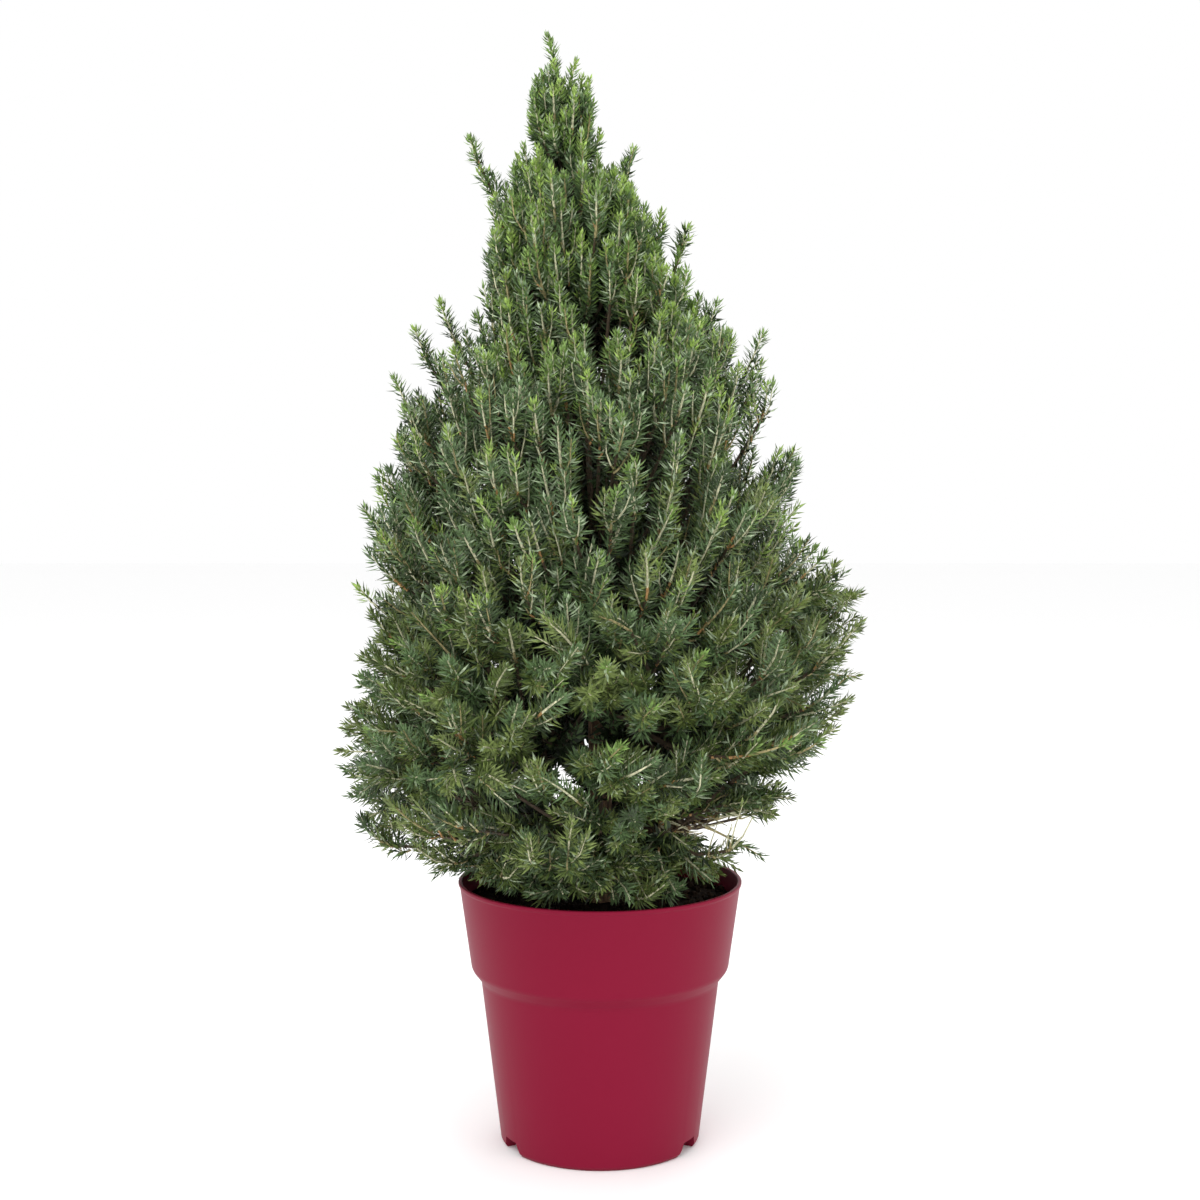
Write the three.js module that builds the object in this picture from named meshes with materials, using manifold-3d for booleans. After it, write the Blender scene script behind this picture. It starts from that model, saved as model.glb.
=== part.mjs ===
// A dwarf conical spruce growing in its nursery pot.
// Millimetres, +Z up. The origin is the middle of the pot's flat underside, and the plant's front faces -Y.
import * as THREE from "three";
import { mergeVertices } from "three/addons/utils/BufferGeometryUtils.js";
import Module from "manifold-3d";

const wasm = await Module();
wasm.setup();

// ---------------------------------------------------------------- driving dimensions

const clearance = 0.3; // between solids that meet
const toRadians = (degrees) => (degrees * Math.PI) / 180;

const potSize = {
  height: 177,
  rimRadius: 95,
  lipHeight: 3,
  lipOverhang: 1,
  bandFootRadius: 86.3,
  bandFootHeight: 118.5,
  wallTopRadius: 80,
  wallTopHeight: 110.5,
  wallFootRadius: 67,
  wallFootHeight: 2.5,
  undersideRadius: 65,
  wall: 1.6,
  floor: 2.4,
  sides: 32,
};

// Drainage notches through the foot of the wall and the edge of the floor.
const notchSize = {
  azimuths: [-151, -29, 90],
  height: 9,
  halfWidthBelow: 12,
  halfWidthAbove: 7,
  innerRadius: 56,
  outerRadius: 72,
};

const soilSize = {
  top: 163,
  gap: 0.4, // to the pot's wall and floor
  flatRadius: 18, // level ground round the trunk
  roughness: 1.25, // of each of its two waves
};

const trunkSize = {
  foot: soilSize.top + clearance,
  top: 641,
  footRadius: 8.6,
  topRadius: 2.2,
  flareRadius: 5, // what the root flare adds at the ground
  flareHeight: 13,
  sides: 8,
  rings: 9,
  ringCrowding: 1.7, // above 1 the rings stand closer together near the ground
};

// The crown leans to the left as it rises: its axis is `lean` off the pot's axis at the top.
const crownSize = {
  foot: potSize.height,
  top: 734,
  headroom: 5, // above the top, for the highest masses' space
  lean: -34,
  leanPower: 2.2,
};

// Half-widths of the crown on its right and left, measured from its axis, at rising heights.
const crownOutline = [
  { height: 183, right: 94, left: 106 },
  { height: 203, right: 98, left: 136 },
  { height: 223, right: 122, left: 172 },
  { height: 264, right: 150, left: 176 },
  { height: 304, right: 170, left: 165 },
  { height: 365, right: 171, left: 154 },
  { height: 425, right: 138, left: 150 },
  { height: 464, right: 130, left: 128 },
  { height: 504, right: 120, left: 116 },
  { height: 530, right: 110, left: 92 },
  { height: 553, right: 90, left: 64 },
  { height: 580, right: 68, left: 56 },
  { height: 611, right: 55, left: 52 },
  { height: 640, right: 42, left: 40 },
  { height: 665, right: 29, left: 31 },
  { height: 700, right: 24, left: 16 },
  { height: 734, right: 4, left: 4 },
];

// Tiers of foliage. A tier lies above the cone height = foot + rise * radius, and below the next tier's cone.
// It is cut into equal sectors, one mass in each, the first at the azimuth `turn`. `start` is the radius where
// the masses begin. Their cores reach `core` of the crown's radius and fill `fill` of the tier's thickness.
const tiers = [
  { name: "skirt", foot: 180, rise: 0, sectors: 6, turn: 30, start: 28, core: 0.78, fill: 0.9 },
  { name: "lower", foot: 230, rise: 0.3, sectors: 6, turn: -6, start: 28, core: 0.78, fill: 0.9 },
  { name: "middle", foot: 271, rise: 0.65, sectors: 5, turn: -9, start: 26, core: 0.76, fill: 0.9 },
  { name: "upper", foot: 321, rise: 1.1, sectors: 5, turn: -18, start: 22, core: 0.74, fill: 0.88 },
  { name: "shoulder", foot: 357, rise: 1.8, sectors: 4, turn: 0, start: 14, core: 0.72, fill: 0.84 },
  { name: "spire", foot: 451, rise: 2.6, sectors: 3, turn: 30, start: 9, core: 0.7, fill: 0.8 },
  { name: "leader", foot: 612, rise: 1.2, sectors: 1, turn: 0, start: 0, core: 0, fill: 0 },
];

// The shoots of each tier's masses, lowest tier first: they climb at `lift` degrees, are `length` long at most
// and `girth` as thick as the largest, and stand in rows and columns.
const tierShoots = [
  { lift: 5, length: 52, girth: 1, rows: 2, columns: 3 },
  { lift: 24, length: 52, girth: 0.96, rows: 3, columns: 3 },
  { lift: 44, length: 50, girth: 0.92, rows: 3, columns: 3 },
  { lift: 60, length: 50, girth: 0.9, rows: 2, columns: 3 },
  { lift: 72, length: 47, girth: 0.86, rows: 2, columns: 2 },
  { lift: 76, length: 46, girth: 0.78, rows: 3, columns: 2 },
  { lift: 82, length: 42, girth: 0.72, rows: 2, columns: 2 },
];
const tiersOnBoughs = 4; // the lowest ones; masses higher up grow straight from the trunk
const leaderLength = 52; // of the stem above the trunk's tip

const massSize = {
  border: 1.2, // how far a mass keeps inside its own space
  lowestRow: 0.2, // of shoots, as a share of the tier's thickness
  highestRow: 0.82,
  widestColumn: 0.72, // as a share of half the sector
  stagger: 0.14,
  jitter: 0.2,
  attempts: 6, // how often a shoot is aimed again, each time nearer the middle of its space
  easing: 0.14,
  longestShoot: 0.75, // as a share of the way from the stem to the shoot's tip
  leastReach: 0.93, // of a shoot's tip, as a share of the crown's radius
  liftSpread: 16, // degrees
  stemRadius: 2.9,
  stemTaper: 0.6,
  stemAim: 60, // the stem heads for the layer's height this far out
  stemReach: 0.52, // of the crown's radius
  shortestStem: 20,
  coreSteps: [2, 3, 2], // of the block that a core is made from, along the radius, round the trunk and upwards
  coreWidth: 0.97, // of the sector
  coreInset: 1.5, // from the start of the mass
  coreLumps: 0.15,
  coreSquareness: 0.8, // 0 is a ball, 1 a box
};

const boughSize = {
  radius: 3.6,
  tipRadius: 2.9,
  thinning: 0.5, // of that where the masses grow straight from the trunk
  footSwell: 1.15, // of the radius, where the bough meets the trunk
  sides: 5,
  shank: 3, // how far it runs level before it bends
  straight: 10, // at its tip
};

// One shoot: a three-sided twig, then a slim core with a fat needle standing out of each face of each length.
const shootSize = {
  twigRadius: 1.7,
  coreRadius: 5.5,
  neckRadius: 4.2,
  needleSpread: 15,
  needleLean: 12,
  tipLength: 18,
  twist: 34,
};

// Shoots that stand out of the crown's outline. Azimuth is in degrees: 0 right, 90 back, 180 left, 270 front.
const leadingTips = [
  { azimuth: 180, radius: 1, height: 734 },
  { azimuth: 0, radius: 20, height: 722 },
  { azimuth: 180, radius: 12, height: 707 },
  { azimuth: 180, radius: 60, height: 672 },
  { azimuth: 180, radius: 27, height: 674 },
  { azimuth: 0, radius: 49, height: 665 },
  { azimuth: 0, radius: 78, height: 614 },
  { azimuth: 180, radius: 91, height: 566 },
  { azimuth: 180, radius: 110, height: 548 },
  { azimuth: 0, radius: 94, height: 566 },
  { azimuth: 0, radius: 123, height: 546 },
  { azimuth: 180, radius: 126, height: 517 },
  { azimuth: 180, radius: 154, height: 430 },
  { azimuth: 0, radius: 141, height: 432 },
  { azimuth: 4, radius: 184, height: 370 },
  { azimuth: 184, radius: 160, height: 379 },
  { azimuth: 197, radius: 180, height: 271 },
  { azimuth: 172, radius: 178, height: 229 },
  { azimuth: 94, radius: 188, height: 350 },
  { azimuth: 72, radius: 168, height: 425 },
  { azimuth: 120, radius: 178, height: 296 },
  { azimuth: 272, radius: 184, height: 342 },
];

// ---------------------------------------------------------------- the crown's shape

// Repeatable random numbers from 0 to 1: one seed always gives the same plant.
function seededRandom(seed) {
  const modulus = 2147483647;
  let state = (seed * 7919 + 104729) % modulus;
  return () => {
    state = (state * 16807) % modulus;
    return state / modulus;
  };
}

function mix(a, b, share) {
  return a + (b - a) * share;
}

// How far the crown's axis and the trunk stand to the side at a height.
function leanAt(height) {
  const share = Math.max(0, (height - crownSize.foot) / (crownSize.top - crownSize.foot));
  return crownSize.lean * share ** crownSize.leanPower;
}

function crownRadius(height, azimuth) {
  const last = crownOutline.length - 1;
  let row = 0;
  while (row < last - 1 && crownOutline[row + 1].height < height) {
    row += 1;
  }
  const low = crownOutline[row];
  const high = crownOutline[row + 1];
  const share = Math.min(1, Math.max(0, (height - low.height) / (high.height - low.height)));
  const rightShare = (1 + Math.cos(azimuth)) / 2;
  return mix(mix(low.left, low.right, rightShare), mix(high.left, high.right, rightShare), share);
}

function crownPoint(radius, azimuth, height) {
  return new THREE.Vector3(leanAt(height) + radius * Math.cos(azimuth), radius * Math.sin(azimuth), height);
}

function tierFloor(tier, radius) {
  return tier < tiers.length ? tiers[tier].foot + tiers[tier].rise * radius : crownSize.top + crownSize.headroom;
}

// The height at a share of a tier's thickness.
function tierHeight(tier, radius, share) {
  return mix(tierFloor(tier, radius), tierFloor(tier + 1, radius), share);
}

// The radius where a layer of the tier meets the crown's outline.
function layerRadius(tier, azimuth, share) {
  const stepShare = 0.4; // of the way to the outline, so that the steps settle
  let radius = 100;
  for (let step = 0; step < 24; step += 1) {
    radius = mix(radius, crownRadius(tierHeight(tier, radius, share), azimuth), stepShare);
  }
  return radius;
}

function trunkRadius(height) {
  const share = (height - trunkSize.foot) / (trunkSize.top - trunkSize.foot);
  const flare = trunkSize.flareRadius * Math.exp(-(height - trunkSize.foot) / trunkSize.flareHeight);
  return mix(trunkSize.footRadius, trunkSize.topRadius, share) + flare;
}

function insideSpace(point, space) {
  const x = point.x - leanAt(point.z);
  const radius = Math.hypot(x, point.y);
  const turn = Math.atan2(point.y, x) - space.azimuth;
  const offCentre = Math.abs(Math.atan2(Math.sin(turn), Math.cos(turn)));
  const sideRoom = tiers[space.tier].sectors === 1 ? Infinity : radius * Math.sin(space.halfAngle - offCentre);
  const above = (point.z - tierFloor(space.tier, radius)) / Math.hypot(1, tiers[space.tier].rise);
  const nextRise = space.tier + 1 < tiers.length ? tiers[space.tier + 1].rise : 0;
  const below = (tierFloor(space.tier + 1, radius) - point.z) / Math.hypot(1, nextRise);
  const off = radius - (point.z < trunkSize.top ? trunkRadius(point.z) : -clearance);
  return Math.min(sideRoom, above, below) > massSize.border && off > clearance;
}

// ---------------------------------------------------------------- solids

// A closed geometry with its shared corners merged, as a solid that can be joined and cut.
function toSolid(geometry) {
  const bare = geometry.clone();
  for (const name of Object.keys(bare.attributes)) {
    if (name !== "position") {
      bare.deleteAttribute(name);
    }
  }
  const merged = mergeVertices(bare, 1e-4);
  const triangles = [];
  for (let at = 0; at < merged.index.count; at += 3) {
    const corners = [0, 1, 2].map((corner) => merged.index.getX(at + corner));
    if (new Set(corners).size === 3) {
      triangles.push(...corners);
    }
  }
  const mesh = new wasm.Mesh({
    numProp: 3,
    vertProperties: new Float32Array(merged.attributes.position.array),
    triVerts: new Uint32Array(triangles),
  });
  return new wasm.Manifold(mesh);
}

// The outer skin of a solid: the connected part that holds the most faces, so sealed hollows and scraps go.
function outerSkin(solid) {
  const mesh = solid.getMesh();
  const parents = Array.from({ length: mesh.numVert }, (_, index) => index);
  const rootOf = (index) => {
    let root = index;
    while (parents[root] !== root) {
      root = parents[root];
    }
    parents[index] = root;
    return root;
  };
  for (let at = 0; at < mesh.triVerts.length; at += 3) {
    parents[rootOf(mesh.triVerts[at])] = rootOf(mesh.triVerts[at + 1]);
    parents[rootOf(mesh.triVerts[at])] = rootOf(mesh.triVerts[at + 2]);
  }
  const groups = new Map();
  for (let at = 0; at < mesh.triVerts.length; at += 3) {
    const root = rootOf(mesh.triVerts[at]);
    const group = groups.get(root) ?? [];
    group.push(...mesh.triVerts.slice(at, at + 3));
    groups.set(root, group);
  }
  const largest = [...groups.values()].sort((a, b) => b.length - a.length)[0];
  const geometry = new THREE.BufferGeometry();
  geometry.setAttribute("position", new THREE.BufferAttribute(new Float32Array(mesh.vertProperties), 3));
  geometry.setIndex(largest);
  return geometry.toNonIndexed();
}

// Corner rings along a path. `across` is a direction that lies roughly square to the whole path.
function pathRings(points, radii, sides, across, twist = 0) {
  return points.map((point, index) => {
    const before = points[Math.max(0, index - 1)];
    const after = points[Math.min(points.length - 1, index + 1)];
    const along = after.clone().sub(before).normalize();
    const first = across.clone().addScaledVector(along, -across.dot(along)).normalize();
    const second = along.clone().cross(first);
    return Array.from({ length: sides }, (_, side) => {
      const angle = (side / sides) * 2 * Math.PI + index * twist;
      return point
        .clone()
        .addScaledVector(first, radii[index] * Math.cos(angle))
        .addScaledVector(second, radii[index] * Math.sin(angle));
    });
  });
}

function trianglesToGeometry(triangles) {
  return new THREE.BufferGeometry().setFromPoints(triangles.flat());
}

// A tapering limb with flat ends.
function limbGeometry(points, radii, sides, across) {
  const rings = pathRings(points, radii, sides, across);
  const triangles = [];
  for (let ring = 0; ring + 1 < rings.length; ring += 1) {
    for (let side = 0; side < sides; side += 1) {
      const next = (side + 1) % sides;
      const [a, b, c, d] = [rings[ring][side], rings[ring][next], rings[ring + 1][next], rings[ring + 1][side]];
      triangles.push([a, b, c], [a, c, d]);
    }
  }
  const top = rings[rings.length - 1];
  for (let side = 1; side + 1 < sides; side += 1) {
    triangles.push([rings[0][0], rings[0][side + 1], rings[0][side]], [top[0], top[side], top[side + 1]]);
  }
  return trianglesToGeometry(triangles);
}

// A shoot from its root on the stem, through its neck, to its tip. It returns every corner of the shoot too,
// to test whether it keeps to its space.
function shootGeometry(root, neck, tip, across, turn, girth) {
  const sides = 3;
  const along = tip.clone().sub(neck).normalize();
  const coreEnd = tip.clone().addScaledVector(along, -shootSize.tipLength * girth);
  const middle = neck.clone().lerp(coreEnd, 0.5);
  const points = [root, neck, middle, coreEnd];
  const { twigRadius, neckRadius, coreRadius } = shootSize;
  const radii = [twigRadius, neckRadius, coreRadius, neckRadius].map((radius) => radius * girth);
  const spun = across.clone().applyAxisAngle(along, turn);
  const rings = pathRings(points, radii, sides, spun, toRadians(shootSize.twist));
  const triangles = [[rings[0][0], rings[0][2], rings[0][1]]];
  const corners = [tip];
  for (let ring = 0; ring + 1 < rings.length; ring += 1) {
    for (let side = 0; side < sides; side += 1) {
      const next = (side + 1) % sides;
      const [a, b, c, d] = [rings[ring][side], rings[ring][next], rings[ring + 1][next], rings[ring + 1][side]];
      if (ring === 0) {
        triangles.push([a, b, c], [a, c, d]);
        corners.push(c);
        continue;
      }
      const face = a.clone().add(b).add(c).add(d).multiplyScalar(0.25);
      const outward = face.clone().sub(points[ring].clone().lerp(points[ring + 1], 0.5)).normalize();
      const needle = face.addScaledVector(outward, shootSize.needleSpread * girth);
      needle.addScaledVector(along, shootSize.needleLean * girth);
      triangles.push([a, b, needle], [b, c, needle], [c, d, needle], [d, a, needle]);
      corners.push(needle);
    }
  }
  const top = rings[rings.length - 1];
  for (let side = 0; side < sides; side += 1) {
    triangles.push([top[side], top[(side + 1) % sides], tip]);
  }
  return { geometry: trianglesToGeometry(triangles), corners };
}

// ---------------------------------------------------------------- materials

const materials = {
  pot: new THREE.MeshStandardMaterial({ color: 0x8f1f3c, roughness: 0.42, metalness: 0 }),
  soil: new THREE.MeshStandardMaterial({ color: 0x241a14, roughness: 1, metalness: 0 }),
  bark: new THREE.MeshStandardMaterial({ color: 0x7a6246, roughness: 0.9, metalness: 0 }),
  needles: new THREE.MeshStandardMaterial({ color: 0x4f7040, roughness: 0.6, metalness: 0, flatShading: true }),
};

const plant = new THREE.Group();

function addPiece(name, geometry, material) {
  const mesh = new THREE.Mesh(geometry, material.clone());
  mesh.name = name;
  plant.add(mesh);
}

// ---------------------------------------------------------------- pot and soil

function latheGeometry(profile) {
  const points = profile.map(([radius, height]) => new THREE.Vector2(radius, height));
  return new THREE.LatheGeometry(points, potSize.sides).rotateX(Math.PI / 2);
}

function potWallPoints() {
  const size = potSize;
  return {
    outer: [
      [size.undersideRadius, 0],
      [size.wallFootRadius, size.wallFootHeight],
      [size.wallTopRadius, size.wallTopHeight],
      [size.bandFootRadius, size.bandFootHeight],
      [size.rimRadius - size.lipOverhang, size.height - size.lipHeight],
      [size.rimRadius, size.height - size.lipHeight + size.lipOverhang],
      [size.rimRadius, size.height],
    ],
    inner: [
      [size.rimRadius - size.lipOverhang - size.wall, size.height],
      [size.bandFootRadius - size.wall, size.bandFootHeight],
      [size.wallTopRadius - size.wall, size.wallTopHeight],
      [size.wallFootRadius - size.wall, size.floor],
    ],
  };
}

function notchGeometry(azimuth) {
  const { height, halfWidthBelow, halfWidthAbove, innerRadius, outerRadius } = notchSize;
  const outline = new THREE.Shape([
    new THREE.Vector2(-halfWidthBelow, -1),
    new THREE.Vector2(halfWidthBelow, -1),
    new THREE.Vector2(halfWidthAbove, height),
    new THREE.Vector2(-halfWidthAbove, height),
  ]);
  const wedge = new THREE.ExtrudeGeometry(outline, { depth: outerRadius - innerRadius, bevelEnabled: false });
  const outward = new THREE.Vector3(Math.cos(azimuth), Math.sin(azimuth), 0);
  const up = new THREE.Vector3(0, 0, 1);
  const sideways = up.clone().cross(outward);
  const place = new THREE.Matrix4().makeBasis(sideways, up, outward);
  return wedge.applyMatrix4(place.setPosition(outward.clone().multiplyScalar(innerRadius)));
}

function buildPot() {
  const { outer, inner } = potWallPoints();
  let solid = toSolid(latheGeometry([[0, 0], ...outer, ...inner, [0, potSize.floor]]));
  for (const azimuth of notchSize.azimuths) {
    solid = solid.subtract(toSolid(notchGeometry(toRadians(azimuth))));
  }
  addPiece("pot", outerSkin(solid), materials.pot);
}

// Compost that fills the pot to a little under its rim, level round the trunk and rough further out.
function buildSoil() {
  const { top, gap, flatRadius, roughness } = soilSize;
  const [, bandFoot, wallTop, wallFoot] = potWallPoints().inner;
  const bandSlope = (potSize.rimRadius - potSize.lipOverhang - potSize.bandFootRadius) / (potSize.height - bandFoot[1]);
  const topRadius = bandFoot[0] + bandSlope * (top - bandFoot[1]) - gap;
  const profile = [
    [0, potSize.floor + gap],
    [wallFoot[0] - gap, potSize.floor + gap],
    [wallTop[0] - gap, wallTop[1] + gap],
    [bandFoot[0] - gap, bandFoot[1] + gap],
    [topRadius, top],
    [mix(flatRadius, topRadius, 0.5), top],
    [flatRadius, top],
    [0, top],
  ];
  const geometry = latheGeometry(profile);
  const position = geometry.attributes.position;
  for (let index = 0; index < position.count; index += 1) {
    const x = position.getX(index);
    const y = position.getY(index);
    const rough = position.getZ(index) > top - 1 && Math.hypot(x, y) > flatRadius + 1;
    const bumps = Math.sin(x * 0.31) * Math.cos(y * 0.27) + Math.sin(x * 0.13 + y * 0.21);
    position.setZ(index, position.getZ(index) + (rough ? bumps * roughness : 0));
  }
  addPiece("soil", outerSkin(toSolid(geometry)), materials.soil);
}

// ---------------------------------------------------------------- trunk, boughs and masses

const front = new THREE.Vector3(0, -1, 0);

function buildTrunk() {
  const points = [];
  const radii = [];
  for (let ring = 0; ring <= trunkSize.rings; ring += 1) {
    const height = mix(trunkSize.foot, trunkSize.top, (ring / trunkSize.rings) ** trunkSize.ringCrowding);
    points.push(new THREE.Vector3(leanAt(height), 0, height));
    radii.push(trunkRadius(height));
  }
  addPiece("trunk", limbGeometry(points, radii, trunkSize.sides, front), materials.bark);
}

// The line that a mass grows along: up the middle of its tier, out from the trunk.
function growthLine(space) {
  const at = (radius) => crownPoint(radius, space.azimuth, tierHeight(space.tier, radius, space.layer));
  const { start } = tiers[space.tier];
  const direction = at(start + massSize.stemAim).sub(at(start)).normalize();
  return { at, start, direction };
}

function boughThickness(space) {
  return mix(1, boughSize.thinning, space.tier / tiersOnBoughs);
}

function buildBough(name, space) {
  const { at, start, direction } = growthLine(space);
  const height = tierHeight(space.tier, 0, space.layer);
  const thickness = boughThickness(space);
  const radius = boughSize.radius * thickness;
  const outward = new THREE.Vector3(Math.cos(space.azimuth), Math.sin(space.azimuth), 0);
  const foot = crownPoint(trunkRadius(height - 2 * radius) + 2 * clearance, space.azimuth, height);
  const end = at(start);
  const points = [
    foot,
    foot.clone().addScaledVector(outward, boughSize.shank),
    end.clone().addScaledVector(direction, -boughSize.straight),
    end,
  ];
  const tipRadius = boughSize.tipRadius * thickness;
  const radii = [radius * boughSize.footSwell, radius, mix(radius, tipRadius, 0.6), tipRadius];
  const across = outward.clone().cross(new THREE.Vector3(0, 0, 1));
  addPiece(name, limbGeometry(points, radii, boughSize.sides, across), materials.bark);
}

// The stem starts clear of the bough's tip or of the trunk, and runs out along the growth line.
function stemPath(space) {
  const { at, start, direction } = growthLine(space);
  if (space.tier < tiersOnBoughs) {
    const foot = at(start).addScaledVector(direction, clearance);
    const reach = layerRadius(space.tier, space.azimuth, space.layer) * massSize.stemReach - start;
    return [foot, foot.clone().addScaledVector(direction, Math.max(massSize.shortestStem, reach))];
  }
  if (tiers[space.tier].sectors === 1) {
    const foot = crownPoint(0, 0, trunkSize.top + clearance);
    return [foot, crownPoint(0, 0, trunkSize.top + leaderLength)];
  }
  const height = tierHeight(space.tier, 0, space.layer);
  const outward = new THREE.Vector3(Math.cos(space.azimuth), Math.sin(space.azimuth), 0);
  const foot = crownPoint(trunkRadius(height - massSize.stemRadius) + 2 * clearance, space.azimuth, height);
  const bend = foot.clone().addScaledVector(outward, boughSize.shank);
  const reach = layerRadius(space.tier, space.azimuth, space.layer) * massSize.stemReach;
  return [foot, bend, bend.clone().addScaledVector(direction, reach)];
}

// A lumpy core that fills the heart of a mass. A block's corners become radius, azimuth and layer in its space.
function coreGeometry(space, random) {
  const { start, core, fill } = tiers[space.tier];
  const { coreSteps, coreLumps, coreSquareness, coreWidth } = massSize;
  const block = new THREE.BoxGeometry(2, 2, 2, ...coreSteps).deleteAttribute("normal").deleteAttribute("uv");
  const merged = mergeVertices(block, 1e-4);
  const position = merged.attributes.position;
  for (let index = 0; index < position.count; index += 1) {
    const corner = new THREE.Vector3().fromBufferAttribute(position, index);
    corner.multiplyScalar((1 - coreLumps * random()) * corner.length() ** (coreSquareness - 1));
    const azimuth = space.azimuth + corner.y * space.halfAngle * coreWidth;
    const share = 0.5 + (corner.z * fill) / 2;
    const outer = layerRadius(space.tier, azimuth, share) * core;
    const radius = mix(start + massSize.coreInset, outer, (1 + corner.x) / 2);
    const point = crownPoint(radius, azimuth, tierHeight(space.tier, radius, share));
    position.setXYZ(index, point.x, point.y, point.z);
  }
  return merged;
}

// Where the shoots of a mass end: rows and columns over the crown's surface, then the tips that stand out.
// Each is a function of ease, which draws the tip from its own place (0) to the middle of the space (1).
function shootAims(space, random) {
  const aims = [];
  const { rows, columns } = tierShoots[space.tier];
  const { lowestRow, highestRow, widestColumn, stagger, jitter } = massSize;
  for (let row = 0; row < rows; row += 1) {
    for (let column = 0; column < columns; column += 1) {
      const shift = (row % 2 === 0 ? stagger : -stagger) + (random() - 0.5) * jitter;
      const across = mix(-widestColumn, widestColumn, column / (columns - 1)) + shift;
      const layer = mix(lowestRow, highestRow, row / (rows - 1)) + (random() - 0.5) * jitter * 0.5;
      const reach = mix(massSize.leastReach, 1, random());
      aims.push((ease) => {
        const azimuth = space.azimuth + across * space.halfAngle * (1 - ease);
        const share = mix(layer, 0.5, ease);
        const radius = layerRadius(space.tier, azimuth, share) * reach;
        return crownPoint(radius, azimuth, tierHeight(space.tier, radius, share));
      });
    }
  }
  for (const { azimuth, radius, height } of leadingTips) {
    const tip = crownPoint(radius, toRadians(azimuth), height);
    if (insideSpace(tip, space)) {
      aims.push(() => tip.clone());
    }
  }
  return aims;
}

// One shoot that keeps to its space, or null where none does.
function growShoot(space, stem, aim, random) {
  const { lift, length: longest, girth } = tierShoots[space.tier];
  const steepness = toRadians(lift + (random() - 0.5) * massSize.liftSpread);
  const length = longest * mix(0.85, 1, random());
  const rootShare = mix(0.2, 0.95, random());
  const turn = random() * Math.PI;
  for (let attempt = 0; attempt < massSize.attempts; attempt += 1) {
    const ease = attempt * massSize.easing;
    const tip = aim(ease);
    const azimuth = Math.atan2(tip.y, tip.x - leanAt(tip.z));
    const outward = new THREE.Vector3(Math.cos(azimuth), Math.sin(azimuth), 0);
    const heading = outward.multiplyScalar(Math.cos(steepness)).add(new THREE.Vector3(0, 0, Math.sin(steepness)));
    const root = stem[stem.length - 2].clone().lerp(stem[stem.length - 1], rootShare);
    const room = root.distanceTo(tip) * massSize.longestShoot;
    const neck = tip.clone().addScaledVector(heading, -Math.min(room, length * (1 - ease / 3)));
    const across = heading.clone().cross(new THREE.Vector3(-Math.sin(azimuth), Math.cos(azimuth), 0));
    const { geometry, corners } = shootGeometry(root, neck, tip, across, turn, girth);
    if (corners.every((corner) => insideSpace(corner, space))) {
      return geometry;
    }
  }
  return null;
}

function buildMass(name, space, seed) {
  const random = seededRandom(seed);
  const tier = tiers[space.tier];
  const stem = stemPath(space);
  const thickness = space.tier < tiersOnBoughs ? boughThickness(space) : boughSize.thinning;
  const radii = stem.map((_, index) => massSize.stemRadius * thickness * mix(1, massSize.stemTaper, index / (stem.length - 1)));
  const sideways = new THREE.Vector3(-Math.sin(space.azimuth), Math.cos(space.azimuth), 0);
  let solid = toSolid(limbGeometry(stem, radii, boughSize.sides, sideways));
  if (tier.sectors > 1) {
    solid = solid.add(toSolid(coreGeometry(space, random)));
  }
  for (const aim of shootAims(space, random)) {
    const geometry = growShoot(space, stem, aim, random);
    if (geometry) {
      solid = solid.add(toSolid(geometry));
    }
  }
  addPiece(name, outerSkin(solid), materials.needles);
}

buildPot();
buildSoil();
buildTrunk();
tiers.forEach((tier, tierIndex) => {
  for (let sector = 0; sector < tier.sectors; sector += 1) {
    const space = {
      tier: tierIndex,
      azimuth: toRadians(tier.turn) + (sector / tier.sectors) * 2 * Math.PI,
      halfAngle: Math.PI / tier.sectors,
      layer: sector % 2 === 0 ? 0.46 : 0.54,
    };
    if (tierIndex < tiersOnBoughs) {
      buildBough(`bough_${tier.name}_${sector + 1}`, space);
    }
    const name = tier.sectors === 1 ? `foliage_${tier.name}` : `foliage_${tier.name}_${sector + 1}`;
    buildMass(name, space, tierIndex * 10 + sector + 1);
  }
});

export default plant;
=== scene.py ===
import math

import bmesh
import bpy
import numpy as np
from mathutils import Matrix, Vector, noise


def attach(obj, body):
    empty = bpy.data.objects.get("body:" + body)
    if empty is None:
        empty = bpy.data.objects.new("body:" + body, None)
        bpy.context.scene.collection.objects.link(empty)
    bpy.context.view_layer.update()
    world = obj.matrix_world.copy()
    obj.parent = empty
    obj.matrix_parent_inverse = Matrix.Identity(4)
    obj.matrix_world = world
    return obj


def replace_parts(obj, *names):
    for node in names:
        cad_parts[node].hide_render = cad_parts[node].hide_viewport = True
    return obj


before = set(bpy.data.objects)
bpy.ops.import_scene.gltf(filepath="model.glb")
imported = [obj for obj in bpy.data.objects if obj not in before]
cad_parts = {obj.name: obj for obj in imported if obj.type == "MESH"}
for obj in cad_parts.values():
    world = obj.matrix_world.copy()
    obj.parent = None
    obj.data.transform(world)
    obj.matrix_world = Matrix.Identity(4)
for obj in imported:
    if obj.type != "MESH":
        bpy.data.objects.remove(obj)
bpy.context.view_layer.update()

# A dwarf conical spruce in its nursery pot, in metres. The pot's flat underside is at height 0, and the front
# faces -Y.

nodeNames = sorted(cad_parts)
foliageNodes = [name for name in nodeNames if name.startswith("foliage_")]
limbNodes = [name for name in nodeNames if name.startswith("bough_")] + ["trunk"]
print("loaded", len(nodeNames), "solids")


# Camera, floor and light

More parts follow.
